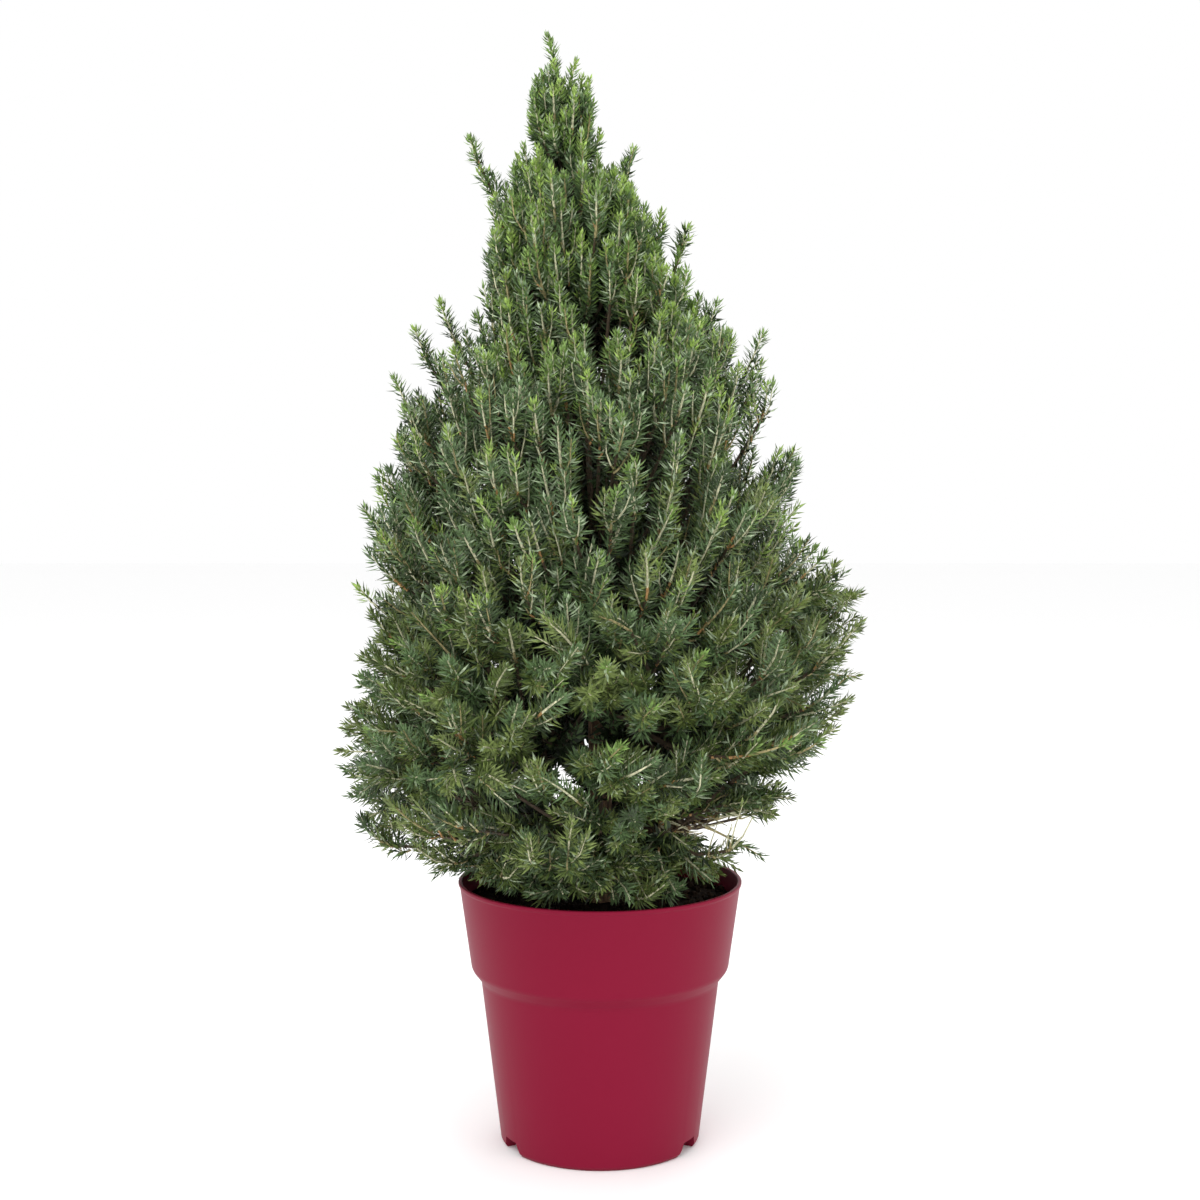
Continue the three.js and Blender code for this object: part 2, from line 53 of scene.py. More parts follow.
cameraView = {
    "place": (0.0, -1.260, 0.459),
    "downward": 4.28,  # degrees
    "lens": 57.0,  # mm on a sensor 36 mm wide
    "sensor": 36.0,
    "nearest": 0.02,
    "farthest": 60,
}

studio = {
    "floorSize": 14.0,
    "floorColor": (0.97, 0.97, 0.97),
    "skyColor": (1.0, 1.0, 1.0),
    "skyStrength": 1.0,
    "lamps": {
        "keyLamp": {"place": (-0.9, -1.5, 2.1), "size": 2.0, "power": 33},
        "fillLamp": {"place": (1.7, -1.4, 1.2), "size": 1.6, "power": 12},
        "backLamp": {"place": (0.5, 1.6, 1.9), "size": 1.4, "power": 10},
    },
    "aim": (0.0, 0.0, 0.38),
}


def addCamera():
    data = bpy.data.cameras.new("viewCamera")
    data.lens = cameraView["lens"]
    data.sensor_width = cameraView["sensor"]
    data.clip_start = cameraView["nearest"]
    data.clip_end = cameraView["farthest"]
    camera = bpy.data.objects.new("viewCamera", data)
    camera.location = cameraView["place"]
    camera.rotation_euler = (math.radians(90 - cameraView["downward"]), 0, 0)
    bpy.context.scene.collection.objects.link(camera)
    bpy.context.scene.camera = camera


def addLamps():
    for name, lamp in studio["lamps"].items():
        data = bpy.data.lights.new(name, "AREA")
        data.energy = lamp["power"]
        data.size = lamp["size"]
        light = bpy.data.objects.new(name, data)
        light.location = lamp["place"]
        toAim = Vector(studio["aim"]) - Vector(lamp["place"])
        light.rotation_euler = toAim.to_track_quat("-Z", "Y").to_euler()
        bpy.context.scene.collection.objects.link(light)
    world = bpy.data.worlds.new("studioSky")
    world.use_nodes = True
    sky = world.node_tree.nodes["Background"]
    sky.inputs["Color"].default_value = (*studio["skyColor"], 1)
    sky.inputs["Strength"].default_value = studio["skyStrength"]
    bpy.context.scene.world = world
    bpy.context.scene.view_settings.view_transform = "Standard"


# Finishes

class Wire:
    # a node's output: arithmetic on it adds Math nodes

    def __init__(self, tree, socket):
        self.tree = tree
        self.socket = socket

    def apply(self, operation, first, second):
        node = self.tree.nodes.new("ShaderNodeMath")
        node.operation = operation
        for entry, value in zip(node.inputs, (first, second)):
            joinSocket(self.tree, entry, value)
        return Wire(self.tree, node.outputs[0])

    def __add__(self, other):
        return self.apply("ADD", self, other)

    __radd__ = __add__

    def __mul__(self, other):
        return self.apply("MULTIPLY", self, other)

    __rmul__ = __mul__


def joinSocket(tree, entry, value):
    if isinstance(value, Wire):
        tree.links.new(value.socket, entry)
    elif isinstance(value, tuple) and entry.type == "RGBA" and len(value) == 3:
        entry.default_value = (*value, 1)
    else:
        entry.default_value = value


class Finish:
    def __init__(self, name, **values):
        self.material = bpy.data.materials.new(name)
        self.material.use_nodes = True
        self.tree = self.material.node_tree
        self.surface = self.tree.nodes["Principled BSDF"]
        self.set(values)

    def set(self, values):
        for name, value in values.items():
            joinSocket(self.tree, self.surface.inputs[name], value)
        self.material.diffuse_color = self.surface.inputs["Base Color"].default_value

    # any node but Math: its settings are set first, then its sockets by name or number
    def node(self, kind, settings, sockets, output=0):
        made = self.tree.nodes.new(kind)
        for name, value in settings.items():
            if name == "stops":
                self.setRamp(made.color_ramp, value)
            else:
                setattr(made, name, value)
        for name, value in sockets.items():
            joinSocket(self.tree, made.inputs[name], value)
        return Wire(self.tree, made.outputs[output])

    def setRamp(self, ramp, stops):
        while len(ramp.elements) < len(stops):
            ramp.elements.new(1)
        for element, (place, color) in zip(ramp.elements, stops):
            element.position = place
            element.color = (*color, 1)

    def place(self):
        return self.node("ShaderNodeTexCoord", {}, {}, "Object")

    def grain(self, scale, detail=3, place=None):
        sockets = {"Vector": place or self.place(), "Scale": scale, "Detail": detail}
        return self.node("ShaderNodeTexNoise", {}, sockets, "Fac")

    def blend(self, share, first, second):
        sockets = {"Factor": share, 6: first, 7: second}
        return self.node("ShaderNodeMix", {"data_type": "RGBA"}, sockets, 2)

    def bump(self, height, strength, distance):
        sockets = {"Height": height, "Strength": strength, "Distance": distance}
        return self.node("ShaderNodeBump", {}, sockets)


def potFinish():
    finish = Finish("crimsonPlastic", **{"Specular IOR Level": 0.11})
    cloud = finish.grain(9, 2)
    color = finish.blend(cloud, (0.196, 0.0034, 0.0235), (0.216, 0.0052, 0.029))
    peel = finish.grain(900, 1)
    finish.set({
        "Base Color": color,
        "Roughness": 0.36 + 0.14 * cloud,
        "Normal": finish.bump(peel, 0.08, 0.0004),
    })
    return finish.material


def soilFinish():
    finish = Finish("dampCompost", **{"Roughness": 0.95, "Specular IOR Level": 0.06})
    crumb = finish.grain(260, 4)
    stops = [
        (0.32, (0.006, 0.004, 0.003)),
        (0.55, (0.024, 0.015, 0.01)),
        (0.78, (0.06, 0.038, 0.022)),
    ]
    color = finish.node("ShaderNodeValToRGB", {"stops": stops}, {"Fac": crumb})
    finish.set({"Base Color": color, "Normal": finish.bump(crumb, 0.9, 0.002)})
    return finish.material


def barkFinish():
    finish = Finish("scalyBark", **{"Roughness": 0.85})
    stretch = finish.node("ShaderNodeMapping", {}, {"Vector": finish.place(), "Scale": (1, 1, 0.35)})
    scale = finish.grain(420, 4, stretch)
    stops = [(0.3, (0.035, 0.02, 0.011)), (0.52, (0.15, 0.088, 0.045)), (0.74, (0.34, 0.23, 0.13))]
    color = finish.node("ShaderNodeValToRGB", {"stops": stops}, {"Fac": scale})
    finish.set({"Base Color": color, "Normal": finish.bump(scale, 0.8, 0.0012)})
    return finish.material


# Making pieces

def addObject(name, mesh, material):
    mesh.materials.append(material)
    made = bpy.data.objects.new(name, mesh)
    bpy.context.scene.collection.objects.link(made)
    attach(made, "root")
    return made


def meshFromBmesh(name, bm, smooth=True):
    mesh = bpy.data.meshes.new(name)
    bm.to_mesh(mesh)
    bm.free()
    mesh.shade_smooth() if smooth else mesh.shade_flat()
    return mesh


def mixed(first, second, share):
    return first + (second - first) * share


# Pot: one profile spun round, with notches cut through its foot

pot = {
    "height": 0.177,
    "rimRadius": 0.095,
    "lipHeight": 0.003,
    "lipOverhang": 0.001,
    "bandFootRadius": 0.0863,
    "bandFootHeight": 0.1185,
    "wallTopRadius": 0.080,
    "wallTopHeight": 0.1105,
    "wallFootRadius": 0.067,
    "wallFootHeight": 0.0025,
    "undersideRadius": 0.065,
    "wall": 0.0016,
    "floor": 0.0024,
    "heelRadius": 0.053,
    "heelHeight": 0.0115,
    "steps": 128,
    "foldAngle": 20,  # degrees, from which a fold is rounded
    "edgeRounding": 0.0006,
    "stepRounding": 0.0019,  # of the step under the band
    "creaseAngle": 35,  # degrees, from which an edge is shaded sharp
}

notch = {
    "azimuths": (-151, -29, 90),
    "height": 0.009,
    "halfWidthBelow": 0.012,
    "halfWidthAbove": 0.007,
    "innerRadius": 0.056,
    "outerRadius": 0.072,
    "foot": -0.001,  # just under the pot, so that the cut is clean
}


def spinProfile(bm, profile, steps):
    corners = [bm.verts.new((radius, 0, height)) for radius, height in profile]
    edges = [bm.edges.new(pair) for pair in zip(corners, corners[1:])]
    bmesh.ops.spin(
        bm, geom=corners + edges, cent=(0, 0, 0), axis=(0, 0, 1), angle=2 * math.pi, steps=steps,
        use_merge=True)
    bmesh.ops.remove_doubles(bm, verts=bm.verts, dist=1e-6)
    bmesh.ops.recalc_face_normals(bm, faces=bm.faces)


# the inside, downwards from the rim, with a solid heel behind the notches
def innerWall():
    wall = pot["wall"]
    share = (pot["heelHeight"] - pot["wallFootHeight"]) / (pot["wallTopHeight"] - pot["wallFootHeight"])
    return [
        (pot["rimRadius"] - pot["lipOverhang"] - wall, pot["height"]),
        (pot["bandFootRadius"] - wall, pot["bandFootHeight"]),
        (pot["wallTopRadius"] - wall, pot["wallTopHeight"]),
        (mixed(pot["wallFootRadius"], pot["wallTopRadius"], share) - wall, pot["heelHeight"]),
        (pot["heelRadius"], pot["heelHeight"]),
        (pot["heelRadius"], pot["floor"]),
    ]


def notchCutters():
    bm = bmesh.new()
    depth = notch["outerRadius"] - notch["innerRadius"]
    for azimuth in notch["azimuths"]:
        box = bmesh.ops.create_cube(bm, size=1)["verts"]
        for corner in box:
            above = corner.co.z > 0
            halfWidth = notch["halfWidthAbove"] if above else notch["halfWidthBelow"]
            corner.co.x = notch["innerRadius"] + (depth if corner.co.x > 0 else 0)
            corner.co.y = math.copysign(halfWidth, corner.co.y)
            corner.co.z = notch["height"] if above else notch["foot"]
        turn = Matrix.Rotation(math.radians(azimuth), 3, "Z")
        bmesh.ops.rotate(bm, verts=box, cent=(0, 0, 0), matrix=turn)
    cutters = bpy.data.objects.new("notchCutters", meshFromBmesh("notchCutters", bm, False))
    bpy.context.scene.collection.objects.link(cutters)
    return cutters


def roundFolds(bm, folds, offset, segments):
    bmesh.ops.bevel(
        bm, geom=folds, offset=offset, affect="EDGES", segments=segments, profile=0.5, material=-1)


def makePot():
    bm = bmesh.new()
    lipBase = pot["height"] - pot["lipHeight"]
    outerWall = [
        (0, 0),
        (pot["undersideRadius"], 0),
        (pot["wallFootRadius"], pot["wallFootHeight"]),
        (pot["wallTopRadius"], pot["wallTopHeight"]),
        (pot["bandFootRadius"], pot["bandFootHeight"]),
        (pot["rimRadius"] - pot["lipOverhang"], lipBase),
        (pot["rimRadius"], lipBase + pot["lipOverhang"]),
        (pot["rimRadius"], pot["height"]),
    ]
    spinProfile(bm, outerWall + innerWall() + [(0, pot["floor"])], pot["steps"])
    slack = 0.001  # in the height of a fold
    stepBelow, stepAbove = pot["wallTopHeight"] - slack, lipBase - slack
    folds = [edge for edge in bm.edges if edge.calc_face_angle(0) > math.radians(pot["foldAngle"])]
    stepFolds = [edge for edge in folds if stepBelow < edge.verts[0].co.z < stepAbove]
    roundFolds(bm, [edge for edge in folds if edge not in stepFolds], pot["edgeRounding"], 3)
    roundFolds(bm, [edge for edge in stepFolds if edge.is_valid], pot["stepRounding"], 5)
    made = addObject("potShell", meshFromBmesh("potShell", bm), potFinish())
    cutters = notchCutters()
    cut = made.modifiers.new("notches", "BOOLEAN")
    cut.object = cutters
    cut.operation = "DIFFERENCE"
    cut.solver = "EXACT"
    evaluated = made.evaluated_get(bpy.context.evaluated_depsgraph_get())
    notched = bpy.data.meshes.new_from_object(evaluated)
    made.modifiers.clear()
    made.data = notched
    notched.shade_smooth()
    notched.set_sharp_from_angle(angle=math.radians(pot["creaseAngle"]))
    bpy.data.objects.remove(cutters)
    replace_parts(made, "pot")
    print("pot", len(notched.polygons), "faces")


# Compost: a rough top, with loose crumbs on it

soil = {
    "top": 0.163,
    "gap": 0.0004,
    "flatRadius": 0.018,
    "roughness": 0.0013,
    "fineness": 140,  # of its bumps
    "steps": 96,
    "topRings": 26,
    "crumbs": 800,
    "crumbSize": (0.0009, 0.0031),
    "crumbMargin": 0.003,  # from the wall
    "seed": 11,
}


def soilEdge(height):
    top, bandFoot = innerWall()[:2]
    share = (height - bandFoot[1]) / (top[1] - bandFoot[1])
    return mixed(bandFoot[0], top[0], share) - soil["gap"]


def soilHeight(x, y):
    reach = math.hypot(x, y)
    rough = min(1, max(0, (reach - soil["flatRadius"]) / soil["flatRadius"]))
    bumps = noise.fractal(Vector((x, y, 0)) * soil["fineness"], 1, 2, 4)
    return soil["top"] + rough * bumps * soil["roughness"]


def makeGround(edge, material):
    bm = bmesh.new()
    gap = soil["gap"]
    walls = [(0, pot["floor"] + gap)]
    walls += [(radius - gap, height + gap) for radius, height in reversed(innerWall()[1:])]
    rings = soil["topRings"]
    tops = [(edge * (1 - ring / rings), soil["top"]) for ring in range(rings + 1)]
    spinProfile(bm, walls + tops, soil["steps"])
    for corner in bm.verts:
        if corner.co.z > soil["top"] - gap and math.hypot(corner.co.x, corner.co.y) < edge - gap:
            corner.co.z = soilHeight(corner.co.x, corner.co.y)
    ground = addObject("compost", meshFromBmesh("compost", bm), material)
    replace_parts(ground, "soil")


def makeCrumbs(edge, material):
    bm = bmesh.new()
    draws = np.random.default_rng(soil["seed"])
    for _ in range(soil["crumbs"]):
        reach = mixed(soil["flatRadius"], edge - soil["crumbMargin"], math.sqrt(draws.random()))
        azimuth = draws.random() * 2 * math.pi
        x, y = reach * math.cos(azimuth), reach * math.sin(azimuth)
        size = mixed(*soil["crumbSize"], draws.random() ** 2)
        turn = Matrix.Rotation(draws.random() * math.pi, 4, Vector(draws.normal(size=3)).normalized())
        stretch = Matrix.Diagonal((1, mixed(0.5, 1, draws.random()), mixed(0.5, 1.3, draws.random()), 1))
        place = Matrix.Translation((x, y, soilHeight(x, y) + size * 0.3)) @ turn @ stretch
        bmesh.ops.create_icosphere(bm, subdivisions=1, radius=size, matrix=place)
    crumbs = addObject("compostCrumbs", meshFromBmesh("compostCrumbs", bm, False), material)
    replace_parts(crumbs, "soil")


def makeSoil():
    edge, material = soilEdge(soil["top"]), soilFinish()
    makeGround(edge, material)
    makeCrumbs(edge, material)
    print("compost and", soil["crumbs"], "crumbs")


# The crown's shape, by the same rule as the solids

crown = {"foot": 0.177, "top": 0.734, "headroom": 0.005, "lean": -0.034, "leanPower": 2.2}

# half-widths to the right and left of the crown's axis, at rising heights
crownOutline = [
    (0.183, 0.092, 0.100), (0.193, 0.086, 0.114), (0.203, 0.060, 0.127), (0.213, 0.078, 0.147),
    (0.223, 0.122, 0.173), (0.244, 0.147, 0.179), (0.264, 0.154, 0.183), (0.284, 0.162, 0.173),
    (0.304, 0.180, 0.175), (0.325, 0.183, 0.166), (0.345, 0.183, 0.160), (0.365, 0.183, 0.158),
    (0.395, 0.160, 0.157), (0.425, 0.147, 0.157), (0.464, 0.142, 0.138), (0.504, 0.131, 0.132),
    (0.523, 0.129, 0.106), (0.534, 0.117, 0.074), (0.553, 0.107, 0.073), (0.580, 0.090, 0.059),
    (0.601, 0.066, 0.059), (0.621, 0.058, 0.059), (0.640, 0.055, 0.050), (0.652, 0.041, 0.040),
    (0.665, 0.032, 0.031), (0.679, 0.031, 0.021), (0.698, 0.029, 0.020), (0.710, 0.025, 0.013),
    (0.718, 0.013, 0.005), (0.734, 0.004, 0.004),
]

trunk = {
    "foot": 0.1633,
    "top": 0.641,
    "footRadius": 0.0086,
    "topRadius": 0.0022,
    "flareRadius": 0.005,
    "flareHeight": 0.013,
    "sides": 28,
    "rings": 90,
    "ringCrowding": 1.3,  # how far the rings crowd towards the flare
    "relief": 0.0008,
    "smoothRadius": 0.006,  # under which the relief grows fainter
}

# A tier lies above the cone height = foot + rise * radius, and below the next tier's cone.
tiers = [
    {"foot": 0.180, "rise": 0.0, "sectors": 6, "turn": 30, "start": 0.028},  # skirt
    {"foot": 0.230, "rise": 0.3, "sectors": 6, "turn": -6, "start": 0.028},  # lower
    {"foot": 0.271, "rise": 0.65, "sectors": 5, "turn": -9, "start": 0.026},  # middle
    {"foot": 0.321, "rise": 1.1, "sectors": 5, "turn": -18, "start": 0.022},  # upper
    {"foot": 0.357, "rise": 1.8, "sectors": 4, "turn": 0, "start": 0.014},  # shoulder
    {"foot": 0.451, "rise": 2.6, "sectors": 3, "turn": 30, "start": 0.009},  # spire
    {"foot": 0.612, "rise": 1.2, "sectors": 1, "turn": 0, "start": 0.0},  # leader
]
tiersOnBoughs = 4

# Shoots of each tier, lowest first. They climb at `lift` degrees, give or take `wander`, and are `length`
# long. Their needles stand off the twig at `spread` degrees, `crowding` times as many as usual, and
# `paintedSheen` of them are a lighter grey: a painted sheen, as if they caught the light. Each branchlet
# carries `sides` more shoots. `bright` is the share with a fresh tip.
tierShoots = [
    {"lift": 12, "wander": 46, "length": 0.044, "needle": 0.0118, "spread": 54,
     "crowding": 1, "paintedSheen": 0.05, "sides": 5, "bright": 0.1},
    {"lift": 32, "wander": 40, "length": 0.042, "needle": 0.0118, "spread": 57,
     "crowding": 1, "paintedSheen": 0.08, "sides": 5, "bright": 0.12},
    {"lift": 64, "wander": 19, "length": 0.039, "needle": 0.0112, "spread": 65,
     "crowding": 1, "paintedSheen": 0.14, "sides": 5, "bright": 0.3},
    {"lift": 81, "wander": 10, "length": 0.038, "needle": 0.0104, "spread": 67,
     "crowding": 1, "paintedSheen": 0.15, "sides": 5, "bright": 0.55},
    {"lift": 86, "wander": 7, "length": 0.036, "needle": 0.0098, "spread": 64,
     "crowding": 1.15, "paintedSheen": 0.15, "sides": 5, "bright": 0.9},
    {"lift": 86, "wander": 7, "length": 0.031, "needle": 0.0092, "spread": 58,
     "crowding": 1.3, "paintedSheen": 0.12, "sides": 5, "bright": 1},
    {"lift": 85, "wander": 7, "length": 0.026, "needle": 0.0080, "spread": 52,
     "crowding": 1.4, "paintedSheen": 0.1, "sides": 4, "bright": 1},
]

# how many branchlets a mass of each tier has: rows upwards, columns round the trunk
tierGrid = [(4, 5), (4, 6), (5, 5), (4, 5), (4, 5), (5, 5), (7, 6)]

# slender shoots that stand out of the outline: azimuth in degrees, then radius and height of the tip
leadingTips = [
    (170, 0.001, 0.7375), (0, 0.018, 0.721), (170, 0.013, 0.708), (180, 0.060, 0.672), (180, 0.027, 0.674),
    (0, 0.049, 0.665), (0, 0.078, 0.614), (180, 0.091, 0.566), (180, 0.110, 0.548), (0, 0.094, 0.566),
    (0, 0.123, 0.546), (180, 0.126, 0.517), (180, 0.154, 0.430), (0, 0.141, 0.432), (4, 0.184, 0.370),
    (184, 0.160, 0.379), (197, 0.180, 0.271), (172, 0.178, 0.229), (94, 0.188, 0.350), (72, 0.168, 0.425),
    (120, 0.178, 0.296), (272, 0.184, 0.342),
]

# finer ones between them, and sprays that hang to the pot's rim
finerTips = [
    (0, 0.063, 0.624), (181, 0.068, 0.558), (179, 0.144, 0.450), (1, 0.158, 0.400), (186, 0.162, 0.329),
    (180, 0.149, 0.350), (357, 0.171, 0.300), (2, 0.155, 0.284), (183, 0.165, 0.214), (356, 0.120, 0.222),
    (40, 0.172, 0.330), (318, 0.168, 0.322), (230, 0.166, 0.318), (252, 0.150, 0.425), (140, 0.168, 0.372),
    (60, 0.128, 0.500), (300, 0.126, 0.505), (115, 0.116, 0.540), (225, 0.112, 0.530), (85, 0.060, 0.640),
    (262, 0.056, 0.644), (45, 0.150, 0.262), (150, 0.150, 0.240), (181, 0.116, 0.177), (357, 0.113, 0.190),
    (352, 0.096, 0.184), (268, 0.088, 0.180), (290, 0.090, 0.180), (305, 0.089, 0.181), (262, 0.116, 0.238),
    (284, 0.110, 0.228), (243, 0.126, 0.252), (301, 0.122, 0.256), (272, 0.096, 0.206), (206, 0.094, 0.183),
    (227, 0.090, 0.181), (212, 0.078, 0.188), (250, 0.080, 0.180), (325, 0.093, 0.184), (236, 0.086, 0.182),
    (218, 0.094, 0.184), (60, 0.092, 0.182), (110, 0.094, 0.183),
]

mass = {
    "layers": (0.46, 0.54),  # of a tier's thickness, where one stem and the next grow, in turn
    "lowestRow": 0.1,
    "highestRow": 0.92,
    "widestColumn": 0.86,
    "jitter": 0.3,
    "shallowest": 0.88,  # how deep under the outline a branchlet may end
    "needleRoom": 0.45,  # of a needle's length, by which a branchlet stays under the outline
    "stemReach": 0.52,  # of the outline's radius
    "shortestStem": 0.02,
    "innerShare": 0.6,  # of the branchlets, once more deep inside
    "innerReach": (0.32, 0.72),
    "leaderRoom": 0.018,  # below the top, where the leader stands alone
    "leaderFoot": Vector((0, 0, -0.03)),  # of the leader's stem, from the trunk's tip
    "leaderStem": Vector((-0.002, 0, 0.06)),
}

# hollows in the crown's surface, where shoots stay back or are missing
hollow = {
    "scale": Vector((22, 22, 11)),
    "level": 0.1,
    "steepness": 3,
    "depth": 0.13,
    "missing": 0.35,
}

# an opening with no needles through the crown's right side: it falls towards the back and widens outwards
opening = {
    "height": 0.2125,
    "slope": -0.19,
    "inner": 0.016,
    "widest": 0.070,
    "outer": 0.104,
    "halfHeight": 0.0080,
    "roughness": 0.003,
    "waves": (260, 170),  # of its rough edge, across and in depth
}

branching = {
    "shootLength": (0.8, 1.2),  # times its tier's
    "shortestNeck": 0.15,  # of a branchlet, below its shoot
    "oldWood": 0.050,  # of last year's growth that still holds its needles
    "oldWidth": 1.2,  # times a needle's width, on old wood
    "slenderWood": 0.090,  # the same for a slender shoot
    "slenderNeedles": 0.75,  # of the usual number, on a slender shoot's old wood
    "upturn": 1.35,  # of a shoot's length, where its branchlet turns towards the light
    "longestUpturn": 0.8,  # of a branchlet
    "sidePlace": (-0.25, 0.9),  # in shoot lengths below the shoot's foot
    "lowestSide": 0.1,  # of a branchlet
    "sideAngle": (32, 58),
    "sideLength": (0.55, 0.9),
    "sideFoot": 0.06,  # of a side shoot, with no needles
    "sideLeads": 0.72,  # how many side shoots of a bright branchlet have a bright tip
    "sideTries": 4,
    "sideShrink": 0.15,  # from one try to the next
    "smallestSide": 0.4,
    "bendPlace": 0.32,  # of a side shoot
    "bendShare": 0.92,  # how far it turns there towards the branchlet's heading
    "margin": 0.002,  # how far a side shoot may pass the outline
    "behindTip": 0.006,  # how far the side shoots of a slender shoot stay below its tip
    "slenderLift": -12,  # degrees, added for a slender shoot
    "dip": -32,  # degrees, of sprays that hang over the rim
    "dipRoom": 0.02,  # above the crown's foot, where sprays hang
}

bough = {
    "radius": 0.0036,
    "tipRadius": 0.0029,
    "thinning": 0.5,  # of the uppermost
    "sides": 12,
    "steps": 6,  # in each stretch
    "elbow": 0.006,  # from the trunk
    "straight": 0.010,
}


# the same draws as in the solids' source
def seededDraws(seed):
    modulus = 2147483647
    state = (seed * 7919 + 104729) % modulus

    def draw():
        nonlocal state
        state = state * 16807 % modulus
        return state / modulus

    return draw


def leanAt(height):
    share = max(0, (height - crown["foot"]) / (crown["top"] - crown["foot"]))
    return crown["lean"] * share ** crown["leanPower"]


def crownRadius(height, azimuth):
    row = 0
    while row < len(crownOutline) - 2 and crownOutline[row + 1][0] < height:
        row += 1
    low, high = crownOutline[row], crownOutline[row + 1]
    share = min(1, max(0, (height - low[0]) / (high[0] - low[0])))
    rightShare = (1 + math.cos(azimuth)) / 2
    return mixed(mixed(low[2], low[1], rightShare), mixed(high[2], high[1], rightShare), share)


def crownPoint(radius, azimuth, height):
    return Vector((leanAt(height) + radius * math.cos(azimuth), radius * math.sin(azimuth), height))


def inOpening(points):
    x, y, z = points[..., 0], points[..., 1], points[..., 2]
    widening = np.clip((x - opening["inner"]) / (opening["widest"] - opening["inner"]), 0, 1)
    across, inDepth = opening["waves"]
    rough = opening["roughness"] * np.sin(across * x + inDepth * y)
    middle = opening["height"] + opening["slope"] * y + rough
    return (np.abs(z - middle) < opening["halfHeight"] * widening) & (x < opening["outer"])


def tierFloor(tier, radius):
    if tier < len(tiers):
        return tiers[tier]["foot"] + tiers[tier]["rise"] * radius
    return crown["top"] + crown["headroom"]


def tierHeight(tier, radius, share):
    return mixed(tierFloor(tier, radius), tierFloor(tier + 1, radius), share)


# where a layer of the tier meets the outline: short steps towards it settle there
def layerRadius(tier, azimuth, share):
    radius = 0.1
    for _ in range(24):
        radius = mixed(radius, crownRadius(tierHeight(tier, radius, share), azimuth), 0.4)
    return radius


def trunkRadius(height):
    share = (height - trunk["foot"]) / (trunk["top"] - trunk["foot"])
    flare = trunk["flareRadius"] * math.exp(-(height - trunk["foot"]) / trunk["flareHeight"])
    return mixed(trunk["footRadius"], trunk["topRadius"], share) + flare


def allSpaces():
    for tierIndex, tier in enumerate(tiers):
        for sector in range(tier["sectors"]):
            yield {
                "tier": tierIndex,
                "azimuth": math.radians(tier["turn"]) + sector / tier["sectors"] * 2 * math.pi,
                "halfAngle": math.pi / tier["sectors"],
                "layer": mass["layers"][sector % 2],
                "seed": tierIndex * 10 + sector + 1,
            }


# the line that a mass and its bough follow outwards, the radius where the mass starts, and the heading there
def growthLine(space):
    def at(radius):
        return crownPoint(radius, space["azimuth"], tierHeight(space["tier"], radius, space["layer"]))

    start = tiers[space["tier"]]["start"]
    return at, start, (at(start + 0.06) - at(start)).normalized()


def outwardFrom(azimuth):
    return Vector((math.cos(azimuth), math.sin(azimuth), 0))


# the stem that a mass grows from, as its first and last point
def stemPath(space):
    tier = space["tier"]
    at, start, direction = growthLine(space)
    if tier < tiersOnBoughs:
        reach = layerRadius(tier, space["azimuth"], space["layer"]) * mass["stemReach"] - start
        return at(start), at(start) + direction * max(mass["shortestStem"], reach)
    if tiers[tier]["sectors"] == 1:
        foot = Vector((leanAt(trunk["top"]), 0, trunk["top"])) + mass["leaderFoot"]
        return foot, foot + mass["leaderStem"]
    height = tierHeight(tier, 0, space["layer"])
    foot = crownPoint(trunkRadius(height) - 0.001, space["azimuth"], height)
    reach = layerRadius(tier, space["azimuth"], space["layer"]) * mass["stemReach"]
    return foot, foot + direction * reach


# Trunk and boughs, in one mesh with the bark's relief

def ringPlace(points, index, radius):
    before, after = points[max(0, index - 1)], points[min(len(points) - 1, index + 1)]
    along = (after - before).normalized()
    turn = along.to_track_quat("Z", "Y").to_matrix().to_4x4()
    return Matrix.Translation(points[index]) @ turn @ Matrix.Diagonal((radius, radius, 1, 1))


def growLimb(bm, points, radii, sides):
    place = ringPlace(points, 0, radii[0])
    ring = bmesh.ops.create_circle(bm, cap_ends=True, segments=sides, radius=1, matrix=place)["verts"]
    edges = list(dict.fromkeys(edge for corner in ring for edge in corner.link_edges))
    for index in range(1, len(points)):
        nextPlace = ringPlace(points, index, radii[index])
        grown = bmesh.ops.extrude_edge_only(bm, edges=edges)["geom"]
        corners = [item for item in grown if isinstance(item, bmesh.types.BMVert)]
        edges = [item for item in grown if isinstance(item, bmesh.types.BMEdge)]
        bmesh.ops.transform(bm, matrix=nextPlace @ place.inverted(), verts=corners)
        place = nextPlace
    bmesh.ops.holes_fill(bm, edges=edges, sides=sides)


def barkRelief(point):
    stretched = Vector((point.x, point.y, point.z * 0.4))
    plates = noise.fractal(stretched * 420, 0.9, 2, 4)
    ribs = noise.noise(Vector((point.x, point.y, point.z * 0.1)) * 210)
    return plates * 0.5 + ribs


def growTrunk(bm):
    crowded = [(ring / trunk["rings"]) ** trunk["ringCrowding"] for ring in range(trunk["rings"] + 1)]
    heights = [mixed(trunk["foot"], trunk["top"], share) for share in crowded]
    points = [Vector((leanAt(height), 0, height)) for height in heights]
    growLimb(bm, points, [trunkRadius(height) for height in heights], trunk["sides"])


